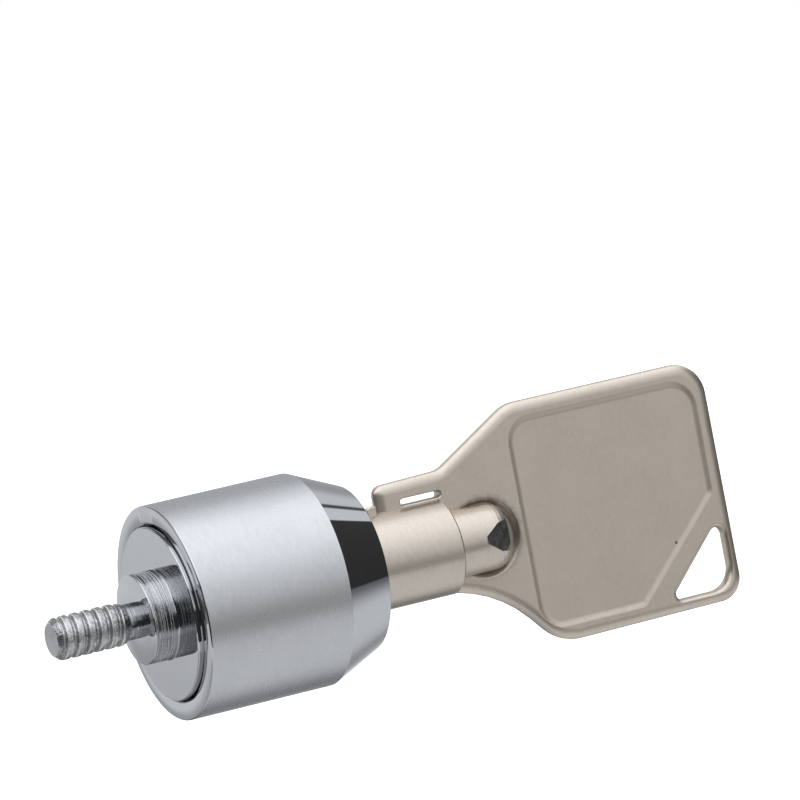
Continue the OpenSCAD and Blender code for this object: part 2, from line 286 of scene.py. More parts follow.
class Outline:
    """A closed outline with rounded corners, each given as (along, up, radius), anticlockwise."""

    least_radius = 0.03

    def __init__(self, corners: list[Corner], step: float = 7.5) -> None:
        """Keeps the corners and the angle, in degrees, between points on their arcs."""
        self.corners = corners
        self.step = step

    def arc(self, i: int, grow: float) -> list[Vector]:
        """Gives the points of one rounded corner.

        Args:
            i: Index of the corner.
            grow: How far every edge is moved out.

        Returns:
            Points as 2-D vectors (along, up).
        """
        before, here, after = (Vector(self.corners[(i + k) % len(self.corners)][:2]) for k in (-1, 0, 1))
        u = (here - before).normalized()
        w = (after - here).normalized()
        turn = math.atan2(u.x * w.y - u.y * w.x, u.dot(w))
        side = math.copysign(1.0, turn)
        radius = max(self.corners[i][2] + side * grow, self.least_radius)
        outward = Vector((u.y + w.y, -u.x - w.x)) / (1 + u.dot(w))
        start = here + grow * outward - u * radius * math.tan(abs(turn) / 2)
        centre = start + side * radius * Vector((-u.y, u.x))
        steps = max(2, round(math.degrees(abs(turn)) / self.step))
        return [centre + Matrix.Rotation(turn * k / steps, 2) @ (start - centre) for k in range(steps + 1)]

    def points(self, grow: float) -> list[Vector]:
        """Gives the whole outline, moved out by grow."""
        return [point for i in range(len(self.corners)) for point in self.arc(i, grow)]

    def tool(self, name: str, levels: list[Level]) -> bpy.types.Object:
        """Builds the solid through a stack of levels as an object of its own.

        Args:
            name: Name of the object.
            levels: Each level as (across, grow).

        Returns:
            The new object.
        """
        rows = [[(across, p.y, p.x) for p in self.points(grow)] for across, grow in levels]
        return Draft().stack(rows).build(name)


class Tree:
    """A node tree that grows by one call per node."""

    def __init__(self, tree: bpy.types.NodeTree) -> None:
        """Takes the tree that is filled."""
        self.tree = tree

    @classmethod
    def fresh(cls, owner: bpy.types.ID) -> "Tree":
        """Empties the node tree of a material or world and starts to fill it.

        Args:
            owner: The material or world.

        Returns:
            Its tree.
        """
        owner.use_nodes = True
        owner.node_tree.nodes.clear()
        return cls(owner.node_tree)

    def add(self, kind: str, inputs: dict | None = None, **settings: object) -> bpy.types.Node:
        """Adds a node.

        Args:
            kind: Type of the node.
            inputs: Socket name or index to a value or to the socket that feeds it.
            settings: Attributes of the node.

        Returns:
            The new node.
        """
        node = self.tree.nodes.new(kind)
        for name, value in settings.items():
            setattr(node, name, value)
        for key, value in (inputs or {}).items():
            if isinstance(value, bpy.types.NodeSocket):
                self.tree.links.new(value, node.inputs[key])
            else:
                node.inputs[key].default_value = value
        return node

    def math(self, operation: str, *values: object) -> bpy.types.NodeSocket:
        """Adds a Math node over numbers or sockets and gives its result."""
        return self.add("ShaderNodeMath", dict(enumerate(values)), operation=operation).outputs[0]

    def product(self, *values: object) -> bpy.types.NodeSocket:
        """Multiplies two or more numbers or sockets."""
        return reduce(lambda first, second: self.math("MULTIPLY", first, second), values)

    def without(self, value: object, share: object) -> bpy.types.NodeSocket:
        """Takes a share of a value away from it."""
        return self.product(value, self.math("SUBTRACT", 1.0, share))

    def ramp(self, value: object, low: object, high: object, to: Level = (0.0, 1.0)) -> bpy.types.NodeSocket:
        """Adds a smooth step of a value.

        Args:
            value: Socket that is mapped.
            low: Value or socket at which the step starts.
            high: Value or socket at which the step ends, which may be the lower one.
            to: Results at the start and at the end.

        Returns:
            The mapped value.
        """
        inputs = {"Value": value, "From Min": low, "From Max": high, "To Min": to[0], "To Max": to[1]}
        return self.add("ShaderNodeMapRange", inputs, interpolation_type="SMOOTHSTEP").outputs[0]

    def mix(self, factor: object, low: object, high: object, kind: str = "Float") -> bpy.types.NodeSocket:
        """Adds a mix of two values and gives its result.

        Args:
            factor: Share of the second value.
            low: First value, a number, a colour or a socket.
            high: Second value.
            kind: "Float" for numbers, "Color" for colours.

        Returns:
            The mixed value.
        """
        node = self.add("ShaderNodeMix", data_type="RGBA" if kind == "Color" else "FLOAT")
        for name, value in (("Factor_Float", factor), (f"A_{kind}", low), (f"B_{kind}", high)):
            socket = next(s for s in node.inputs if s.identifier == name)
            if isinstance(value, bpy.types.NodeSocket):
                self.tree.links.new(value, socket)
            else:
                socket.default_value = value
        return next(s for s in node.outputs if s.identifier == f"Result_{kind}")

    def blend(self, factor: object, low: object, high: object) -> bpy.types.NodeSocket:
        """Adds a mix of two colours and gives its result."""
        return self.mix(factor, low, high, "Color")


def shader_group(name: str, numbers: dict[str, float],
                 results: list[str]) -> tuple[Tree, bpy.types.NodeOutputs, bpy.types.NodeSocket]:
    """Starts a node group with number inputs and number results.

    Args:
        name: Name of the group.
        numbers: Input names and their first values.
        results: Names of the results.

    Returns:
        A Tree that fills the group, the group's inputs and the place on the object.
    """
    group = bpy.data.node_groups.new(name, "ShaderNodeTree")
    for label, value in numbers.items():
        group.interface.new_socket(label, in_out="INPUT", socket_type="NodeSocketFloat").default_value = value
    for label in results:
        group.interface.new_socket(label, in_out="OUTPUT", socket_type="NodeSocketFloat")
    tree = Tree(group)
    return tree, tree.add("NodeGroupInput").outputs, tree.add("ShaderNodeTexCoord").outputs["Object"]


def drawn_grain() -> bpy.types.NodeTree:
    """Makes the group that gives fine lines drawn round the axis, with their own scales.

    Returns:
        The group: Round and Along are noise scales per millimetre, Soft is half the contrast's width, and
        Grain is from 0 to 1.
    """
    numbers = {"Round": 0.5, "Along": 20.0, "Soft": 0.35}
    tree, given, place = shader_group("drawn grain", numbers, ["Grain"])
    parts = tree.add("ShaderNodeSeparateXYZ", {0: place}).outputs
    turned, drawn = (tree.product(given[scale], 1 / MM) for scale in ("Round", "Along"))
    scaled = tree.add("ShaderNodeCombineXYZ", {
        k: tree.product(parts[k], scale) for k, scale in enumerate((turned, drawn, turned))}).outputs[0]
    noise = tree.add("ShaderNodeTexNoise", {"Vector": scaled, "Scale": 1.0, "Detail": 4.0, "Roughness": 0.6})
    middle = 0.5
    low, high = (tree.math(way, middle, given["Soft"]) for way in ("SUBTRACT", "ADD"))
    tree.add("NodeGroupOutput", {"Grain": tree.ramp(noise.outputs[0], low, high)})
    return tree.tree


def plating_specks() -> bpy.types.NodeTree:
    """Makes the group that gives small scattered specks and a broad cloudiness.

    Returns:
        The group: Size is a speck's spacing in millimetres, Share how many of them show.
    """
    tree, given, place = shader_group("plating specks", {"Size": 1.0, "Share": 0.2}, ["Specks", "Clouds"])
    speck_edge, cloud_scale, cloud_edge = (0.11, 0.05), 0.22 / MM, (0.3, 0.7)
    scale = tree.math("DIVIDE", 1 / MM, given["Size"])
    cells = tree.add("ShaderNodeTexVoronoi", {"Vector": place, "Scale": scale})
    near = tree.ramp(cells.outputs["Distance"], *speck_edge)
    pick = tree.add("ShaderNodeSeparateColor", {0: cells.outputs["Color"]}).outputs[0]
    chosen = tree.math("LESS_THAN", pick, given["Share"])
    cloud = tree.add("ShaderNodeTexNoise", {"Vector": place, "Scale": cloud_scale, "Detail": 5.0})
    tree.add("NodeGroupOutput", {
        "Specks": tree.product(near, chosen), "Clouds": tree.ramp(cloud.outputs[0], *cloud_edge)})
    return tree.tree


def round_painted_shade() -> bpy.types.NodeTree:
    """Makes the group that gives a round, uneven patch of painted shade on the side of the key.

    Returns:
        The group: its lengths are in millimetres, and Mask is from 0 to Strength.
    """
    numbers = {"Along": 0.0, "Up": 0.0, "Inner": 1.0, "Outer": 2.0, "Strength": 1.0}
    tree, given, place = shader_group("round painted shade", numbers, ["Mask"])
    parts = tree.add("ShaderNodeSeparateXYZ", {0: place}).outputs
    along = tree.math("SUBTRACT", tree.math("DIVIDE", parts[1], -MM), given["Along"])
    up = tree.math("SUBTRACT", tree.math("DIVIDE", parts[2], MM), given["Up"])
    away = tree.math("SQRT", tree.math("ADD", tree.math("POWER", along, 2.0), tree.math("POWER", up, 2.0)))
    edge_scale, edge_depth, contrast = 1.1 / MM, 0.15, (0.3, 0.7)
    noise = tree.add("ShaderNodeTexNoise", {"Vector": place, "Scale": edge_scale, "Detail": 3.0})
    uneven = tree.math("ADD", away, tree.ramp(noise.outputs[0], *contrast, (-edge_depth, edge_depth)))
    fade = tree.ramp(uneven, given["Inner"], given["Outer"], (1.0, 0.0))
    tree.add("NodeGroupOutput", {"Mask": tree.product(fade, given["Strength"])})
    return tree.tree


SPECK_LEVEL = 0.35
# how dark the painted shade gets, as a share of the dull colour
PAINTED_SHADE_LEVEL = 0.12
CLOUD_LEVELS = (0.6, 1.0)


@dataclass(frozen=True)
class PaintedShade:
    """A round patch of painted shade on a surface, standing in for the shade round a recess.

    Attributes:
        along: Place of its middle along the lock.
        up: Height of its middle.
        inner: Radius of the full painted shade.
        outer: Radius at which the painted shade has faded.
        strength: How much of the colour the full painted shade takes.
    """

    along: float
    up: float
    inner: float
    outer: float
    strength: float


@dataclass(frozen=True)
class MetalFinish:
    """One metal surface: its colour, how its grain runs and how it scatters light.

    Attributes:
        name: Name of the material.
        color: Colour of the bright metal.
        dull: Colour in the grain's low spots and in the specks.
        rough: Roughness on the grain's high and low spots.
        haze: Share of the light that the satin scatters widely.
        haze_rough: Roughness of that wide lobe.
        grain: Noise scales per millimetre, round the axis and along it.
        depth: Height of the grain in millimetres.
        specks: Share of the specks that show.
        speck_size: Spacing of the specks in millimetres.
        painted_shade: A round patch of painted shade, or None.
    """

    name: str
    color: Rgb
    dull: Rgb
    rough: tuple[float, float]
    haze: float = 0.1
    haze_rough: float = 0.58
    grain: tuple[float, float] = (0.6, 22.0)
    depth: float = 0.002
    specks: float = 0.06
    speck_size: float = 1.6
    painted_shade: PaintedShade | None = None

    def build(self, groups: dict[str, bpy.types.NodeTree]) -> bpy.types.Material:
        """Makes the material.

        Args:
            groups: The shared shader groups by name.

        Returns:
            The new material.
        """
        material = bpy.data.materials.new(self.name)
        tree = Tree.fresh(material)
        grain = tree.add("ShaderNodeGroup", node_tree=groups["grain"])
        grain.inputs["Round"].default_value, grain.inputs["Along"].default_value = self.grain
        specks = tree.add("ShaderNodeGroup", node_tree=groups["specks"])
        specks.inputs["Size"].default_value = self.speck_size
        specks.inputs["Share"].default_value = self.specks
        low = tree.product(grain.outputs["Grain"], tree.ramp(specks.outputs["Clouds"], 0, 1, CLOUD_LEVELS))
        color = tree.blend(low, (*self.color, 1), (*self.dull, 1))
        color = tree.blend(specks.outputs["Specks"], color, (*(c * SPECK_LEVEL for c in self.dull), 1))
        # painted shade: the colour darkens round a spot near the recess behind the barrel's end
        if self.painted_shade:
            painted_shade = tree.add("ShaderNodeGroup", node_tree=groups["painted_shade"])
            for field in fields(self.painted_shade):
                painted_shade.inputs[field.name.capitalize()].default_value = getattr(self.painted_shade, field.name)
            color = tree.blend(painted_shade.outputs["Mask"], color, (*(c * PAINTED_SHADE_LEVEL for c in self.dull), 1))
        height = tree.math("SUBTRACT", grain.outputs["Grain"], specks.outputs["Specks"])
        bump = tree.add("ShaderNodeBump", {"Height": height, "Distance": self.depth * MM, "Strength": 1.0})
        clear = tree.add("ShaderNodeBsdfPrincipled", {
            "Base Color": color, "Roughness": tree.ramp(low, 0, 1, self.rough), "Metallic": 1.0,
            "Normal": bump.outputs[0]})
        wide = tree.add("ShaderNodeBsdfPrincipled", {
            "Base Color": color, "Roughness": self.haze_rough, "Metallic": 1.0, "Normal": bump.outputs[0]})
        both = tree.add("ShaderNodeMixShader", {0: self.haze, 1: clear.outputs[0], 2: wide.outputs[0]})
        tree.add("ShaderNodeOutputMaterial", {0: both.outputs[0]})
        return material


SATIN_CHROME = MetalFinish(
    "satin_chrome", (0.57, 0.58, 0.60), (0.53, 0.54, 0.555), (0.26, 0.36), haze=0.35, grain=(1.0, 3.6),
    depth=0.0005, specks=0.0)
BRIGHT_CHROME = MetalFinish(
    "bright_chrome", (0.52, 0.53, 0.55), (0.50, 0.51, 0.525), (0.02, 0.05), haze=0.05, grain=(0.4, 3.0),
    depth=0.0)
TURNED_CHROME = MetalFinish(
    "turned_chrome", (0.48, 0.49, 0.51), (0.24, 0.245, 0.255), (0.03, 0.10), haze=0.08, grain=(0.35, 14.0),
    depth=0.006)
STUD_STEEL = MetalFinish(
    "stud_steel", (0.62, 0.62, 0.63), (0.10, 0.098, 0.098), (0.06, 0.2), haze=0.1, haze_rough=0.45,
    grain=(3.2, 3.4), depth=0.045, specks=0.5, speck_size=0.45)
# bright ridges: painted highlight, a colour lighter than the metal's own, for the thin glints on thread
# crests and turned marks
RIDGE_PAINTED_HIGHLIGHT = MetalFinish(
    "ridge_painted_highlight", (0.80, 0.80, 0.81), (0.55, 0.55, 0.56), (0.2, 0.4), haze=0.6, haze_rough=0.7,
    grain=(1.6, 2.0), depth=0.01)
# the key's nickel, with painted shade round the recess behind the barrel's end
KEY_NICKEL = MetalFinish(
    "key_nickel", (0.66, 0.594, 0.522), (0.605, 0.54, 0.468), (0.28, 0.38), haze=0.4, haze_rough=0.6,
    grain=(2.2, 2.6), depth=0.0015, specks=0.03, painted_shade=PaintedShade(34.5, 0.1, 3.3, 4.4, 0.58))
BARREL_NICKEL = MetalFinish(
    "barrel_nickel", (0.60, 0.545, 0.485), (0.56, 0.505, 0.445), (0.22, 0.32), haze=0.35, grain=(1.0, 3.2),
    depth=0.0004, specks=0.04)
# a dark colour for the tongue: painted shade, as it lies deep in the split end of the barrel
TONGUE_PAINTED_SHADE = MetalFinish(
    "tongue_painted_shade", (0.15, 0.147, 0.145), (0.03, 0.03, 0.03), (0.15, 0.35), haze=0.3, grain=(1.0, 2.6),
    depth=0.08, specks=0.3, speck_size=0.6)
PLAIN_BRASS = MetalFinish(
    "plain_brass", (0.72, 0.55, 0.25), (0.55, 0.40, 0.16), (0.18, 0.3), haze=0.4, grain=(0.5, 12.0),
    depth=0.003)
PLAIN_BRONZE = MetalFinish(
    "plain_bronze", (0.52, 0.33, 0.18), (0.38, 0.23, 0.12), (0.24, 0.4), haze=0.5, grain=(0.5, 8.0),
    depth=0.003)
SPRING_STEEL = MetalFinish(
    "spring_steel", (0.52, 0.53, 0.55), (0.36, 0.36, 0.37), (0.16, 0.28), haze=0.3, grain=(1.0, 10.0),
    depth=0.002)


class Workshop:
    """The shared shader groups and the materials made with them."""

    def __init__(self) -> None:
        """Makes the shader groups."""
        self.groups = {"grain": drawn_grain(), "specks": plating_specks(), "painted_shade": round_painted_shade()}
        self.made: dict[str, bpy.types.Material] = {}

    def material(self, finish: MetalFinish) -> bpy.types.Material:
        """Gives the material of a finish, made once.

        Args:
            finish: The finish.

        Returns:
            Its material.
        """
        if finish.name not in self.made:
            self.made[finish.name] = finish.build(self.groups)
        return self.made[finish.name]

    def dress(self, piece: bpy.types.Object, *finishes: MetalFinish) -> None:
        """Puts finishes on a piece.

        Args:
            piece: The piece.
            finishes: Its finishes, in the order of its material indices.
        """
        if piece.data.materials:
            piece.data.materials.clear()
        for finish in finishes:
            piece.data.materials.append(self.material(finish))

    def deliver(self, piece: bpy.types.Object, body: Body, slot: Slot, *nodes: str) -> None:
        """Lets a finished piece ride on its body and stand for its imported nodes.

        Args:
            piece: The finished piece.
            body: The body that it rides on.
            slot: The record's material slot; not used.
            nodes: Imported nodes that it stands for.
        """
        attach(piece, body.value)
        if nodes:
            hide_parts(*nodes)
        LOG.info("%s: %d faces, rides on %s", piece.name, len(piece.data.polygons), body.value)


@dataclass
class Shell:
    """The round outer shell, turned with a tapered nose and a keyway with a notch for the key's nub."""

    taper_l: float = 5.2
    nose_r: float = 8.2
    rear_bore_r: float = 8.65
    housing_z: float = 9.95
    flange_bore_r: float = 6.4
    flange_z: float = 14.05
    lip_t: float = 1.9
    keyway_r: float = 4.85
    notch_half: float = 0.9
    notch_top: float = 5.7
    rim_edge: float = 0.16
    rim_bevel: float = 0.3
    nose_edge: float = 0.18
    keyway_edge: float = 0.15
    bore_edge: float = 0.05

    def __post_init__(self) -> None:
        """Works out the angles of the notch's corners and of its feet on the keyway."""
        self.corner = math.atan2(self.notch_half, self.notch_top)
        self.foot = math.asin(self.notch_half / self.keyway_r)

    def angles(self) -> list[float]:
        """Lists the angles of a row, with points at the corners of the notch.

        Returns:
            The angles from straight up, in radians.
        """
        notch_steps, arc_steps = 4, 180
        inner = [self.corner * k / notch_steps for k in range(notch_steps + 1)]
        arc = [self.foot + (math.tau - 2 * self.foot) * k / arc_steps for k in range(arc_steps + 1)]
        return inner + arc + [math.tau - a for a in reversed(inner[1:])]

    def keyway(self, along: float, grow: float) -> list[Point]:
        """Gives the keyway's row: a circle with the notch at its top.

        Args:
            along: Place of the row on the axis.
            grow: How far its edge is moved out.

        Returns:
            The points as (across, up, along).
        """
        half, top, radius = self.notch_half + grow, self.notch_top + grow, self.keyway_r + grow
        foot_up = math.sqrt(radius ** 2 - half ** 2)
        new_foot = math.asin(half / radius)
        points = []
        for a in self.angles():
            near = min(a, math.tau - a)
            side = 1 if a < math.pi else -1
            if near <= self.corner + HAIR:
                points.append((side * half * math.tan(near) / math.tan(self.corner), top, along))
            elif near <= self.foot + HAIR:
                points.append((side * half, foot_up, along))
            else:
                b = new_foot + (math.pi - new_foot) * (near - self.foot) / (math.pi - self.foot)
                points.append((side * radius * math.sin(b), radius * math.cos(b), along))
        return points

    def build(self, workshop: Workshop) -> bpy.types.Object:
        """Builds the shell with small turned edges, satin on the cylinder and bright elsewhere.

        Args:
            workshop: Where its materials come from.

        Returns:
            The finished shell.
        """
        satin, bright = 0, 1
        arc_step, sharp_angle = 22.5, 24.0
        reach = Reach.of("outer_shell")
        outer, length = reach.half_width, reach.front
        taper_z = length - self.taper_l
        side = Outline([
            (0, self.rear_bore_r, self.bore_edge), (0, outer, self.rim_edge),
            (taper_z, outer, self.bore_edge),
            (length, self.nose_r, self.nose_edge), (length, self.keyway_r, self.keyway_edge)], arc_step)
        angles = self.angles()
        draft = Draft()
        rows, looks = [], []

        def turn(radius: float, along: float) -> None:
            """Adds a round, bright row."""
            rows.append(draft.row(circle(radius, along, angles)))
            looks.append(bright)

        bevel, edge = self.rim_bevel, self.keyway_edge
        turn(self.rear_bore_r, self.housing_z)
        turn(self.rear_bore_r, bevel)
        for a in quarter(3):
            turn(self.rear_bore_r + bevel * (1 - math.cos(a)), bevel * (1 - math.sin(a)))
        for along, radius in side.arc(1, 0):
            turn(radius, along)
        looks[-1] = satin
        for corner in (2, 3):
            for along, radius in side.arc(corner, 0):
                turn(radius, along)
        for along, grow in ((length, edge), (length - edge, 0.0), (length - self.lip_t, 0.0)):
            rows.append(draft.row(self.keyway(along, grow)))
            looks.append(bright)
        turn(self.notch_top + edge, length - self.lip_t)
        turn(self.notch_top + edge, self.flange_z)
        turn(self.flange_bore_r, self.flange_z)
        turn(self.flange_bore_r, self.housing_z)
        draft.ring(rows, looks)
        piece = draft.build("shell", sharp_angle)
        flat_normals(piece)
        workshop.dress(piece, SATIN_CHROME, BRIGHT_CHROME)
        workshop.deliver(piece, Body.LOCK, Slot.SHELL, "outer_shell")
        return piece


@dataclass
class Hub:
    """The rear disc with its boss, turned in one piece with tool marks near the boss's end."""

    disc_z: float = -0.45
    disc_r: float = 8.5
    disc_t: float = 1.7
    disc_edge: float = 0.16
    boss_r: float = 4.4
    boss_edge: float = 0.1
    root_fillet: float = 0.12
    hole_r: float = 1.56
    collar_r: float = 5.3
    socket_r: float = 2.55
    socket_z: float = -0.15
    plain_l: float = 0.22
    mark_depth: float = 0.065
    marks: int = 15
    marks_l: float = 1.9
    ring_from: float = 0.55
    segments: int = 200

    @staticmethod
    def strength(mark: int) -> float:
        """Gives how strong one tool mark is, from 0 to 1."""
        step, start = 2.4, 1.1
        return 0.5 + 0.5 * math.sin(step * mark + start)

    def turned_marks(self, start: float) -> list[Level]:
        """Gives the profile of the tool marks, each of its own width and depth.

        Args:
            start: Place of the first mark.

        Returns:
            The profile's points as (radius, along).
        """
        flat_share, groove_share = 0.35, 0.6
        least_w, more_w, least_depth, more_depth, fade = 0.7, 0.6, 0.35, 0.65, 0.75
        points = []
        along = start
        for k in range(self.marks):
            strength = self.strength(k)
            width = self.marks_l / self.marks * (least_w + more_w * strength)
            depth = self.mark_depth * (least_depth + more_depth * strength) * (1 - fade * k / self.marks)
            points += [(self.boss_r, along), (self.boss_r, along + flat_share * width),
                       (self.boss_r - depth, along + groove_share * width)]
            along += width
        return points + [(self.boss_r, along)]

    def build(self, workshop: Workshop) -> bpy.types.Object:
        """Builds the disc and boss, mirror bright with turned marks.

        Args:
            workshop: Where its materials come from.

        Returns:
            The finished disc and boss.
        """
        # the third look is the painted highlight on the ridges of the strongest marks
        bright, turned, ring = 0, 1, 2
        sharp_angle = 20.0
        reach = Reach.of("drive_hub")
        boss_z, collar_z = reach.back, reach.front
        disc_in_z = self.disc_z + self.disc_t
        ease, fillet, rim = self.boss_edge, self.root_fillet, self.disc_edge
        end = [(self.boss_r - ease * (1 - math.sin(a)), boss_z + ease * (1 - math.cos(a)))
               for a in quarter(3)]
        marks = self.turned_marks(boss_z + self.plain_l)
        root = [(self.boss_r + fillet * (1 - math.cos(a)), self.disc_z - fillet * (1 - math.sin(a)))
                for a in quarter(3)]
        edge = [(self.disc_r - rim * (1 - math.sin(a)), self.disc_z + rim * (1 - math.cos(a)))
                for a in quarter(4)]
        back = [(self.disc_r, disc_in_z), (self.collar_r, disc_in_z), (self.collar_r, collar_z),
                (self.socket_r, collar_z), (self.socket_r, self.socket_z), (self.hole_r, self.socket_z)]
        profile = [(self.hole_r, boss_z)] + end + marks + root + edge + back
        looks = [bright] * len(profile)
        first = len(end)
        for k in range(first, first + len(marks) + 1):
            looks[k] = turned
        # the ridge after each strong mark takes the painted highlight
        for k in range(self.marks):
            if self.strength(k) > self.ring_from:
                looks[first + 3 * k + 3] = ring
        draft = Draft()
        angles = even_angles(self.segments)
        draft.ring([draft.row(circle(radius, along, angles)) for radius, along in profile], looks)
        piece = draft.build("disc_and_boss", sharp_angle)
        flat_normals(piece)
        workshop.dress(piece, BRIGHT_CHROME, TURNED_CHROME, RIDGE_PAINTED_HIGHLIGHT)
        workshop.deliver(piece, Body.PLUG, Slot.HUB, "drive_hub")
        return piece


@dataclass
class Stud:
    """The coarse stud: a real thread with flat crests, a plain neck and a chamfered tip."""

    thread_r: float = 2.1
    root_r: float = 1.78
    pitch: float = 1.17
    crest_share: float = 0.6
    flank_share: float = 0.14
    ease_share: float = 0.1
    ease: float = 0.05
    neck_r: float = 1.75
    neck_l: float = 1.2
    tip_chamfer: float = 0.5
    shank_r: float = 1.5
    segments: int = 96
    crest_middle: float = 0.23
    run_out: float = 0.8
    mark_at: float = 0.58
    mark_half: float = 0.04
    mark_depth: float = 0.03
    steel_look: int = 0
    turned_look: int = 1
    highlight_ridge_look: int = 2

    def ridge(self, phase: float) -> float:
        """Gives the thread's radius at a phase of its pitch.

        Args:
            phase: Place on the ridge, from 0 to 1.

        Returns:
            The radius.
        """
        crest, flank, ease = self.crest_share, self.flank_share, self.ease_share
        eased = self.thread_r - self.ease
        stations = [(0.0, eased), (ease, self.thread_r), (crest - ease, self.thread_r), (crest, eased),
                    (crest + flank, self.root_r), (1 - flank, self.root_r), (1.0, eased)]
        for (p0, r0), (p1, r1) in zip(stations, stations[1:]):
            if phase <= p1:
                return r0 + (r1 - r0) * (phase - p0) / (p1 - p0)
        return eased

    def thread(self, draft: Draft, tip: float, end: float) -> list[list[int]]:
        """Adds the threaded part, in rows that follow the thread.

        Args:
            draft: The draft that takes the points and faces.
            tip: Place of the tip's face.
            end: Place where the thread has run out.

        Returns:
            The rows' points.
        """
        crest, flank, ease = self.crest_share, self.flank_share, self.ease_share
        phases = [0.0, ease, self.crest_middle, crest - ease, crest, crest + flank, 1 - flank]
        # the crest's first ease takes the painted highlight
        looks = [self.highlight_ridge_look] + [self.steel_look] * (len(phases) - 1)
        angles = even_angles(self.segments)
        rows = []
        for turn in range(-1, math.ceil((end - tip) / self.pitch) + 2):
            for phase in phases:
                points = []
                for a in angles:
                    along = tip + self.pitch * (turn + phase + a / math.tau)
                    place = min(max(along, tip), end)
                    held = abs(place - along) >= HAIR
                    local = ((place - tip) / self.pitch - a / math.tau) % 1.0 if held else phase
                    radius = min(self.ridge(local), self.thread_r - self.tip_chamfer + (place - tip),
                                 self.neck_r + (end - place) * (self.thread_r - self.neck_r) / self.run_out)
                    points.append((radius * math.sin(a), radius * math.cos(a), place))
                rows.append(draft.row(points))
        step = len(phases)
        for k, (row, after) in enumerate(zip(rows, rows[1:])):
            draft.strip(row, after, looks[k % step])
            if k + 1 + step < len(rows):
                # the helix goes on in the rows that lie one turn further
                draft.faces[-1] = (row[-1], rows[k + step][0], rows[k + 1 + step][0], after[-1])
        return rows

    def build(self, workshop: Workshop) -> bpy.types.Object:
        """Builds the stud as one closed mesh.

        Args:
            workshop: Where its materials come from.

        Returns:
            The finished stud.
        """
        sharp_angle = 18.0
        reach = Reach.of("threaded_stud")
        neck_z = Reach.of("drive_hub").back
        thread_end = neck_z - self.neck_l
        draft = Draft()
        rows = self.thread(draft, reach.back, thread_end)
        draft.cap(rows[0], self.turned_look)
        mark_z, half, depth = neck_z - self.mark_at, self.mark_half, self.mark_depth
        neck = [(self.neck_r, thread_end), (self.neck_r, mark_z - half), (self.neck_r - depth, mark_z),
                (self.neck_r, mark_z + half), (self.neck_r, neck_z), (self.shank_r, neck_z),
                (self.shank_r, reach.front)]
        before = rows[-1]
        for k, (radius, along) in enumerate(neck):
            row = draft.row(circle(radius, along, even_angles(self.segments)))
            draft.strip(before, row, self.turned_look if k else self.steel_look)
            before = row
        draft.cap(before)
        piece = draft.build("stud", sharp_angle)
        workshop.dress(piece, STUD_STEEL, TURNED_CHROME, RIDGE_PAINTED_HIGHLIGHT)
        workshop.deliver(piece, Body.PLUG, Slot.STUD, "threaded_stud")
        return piece


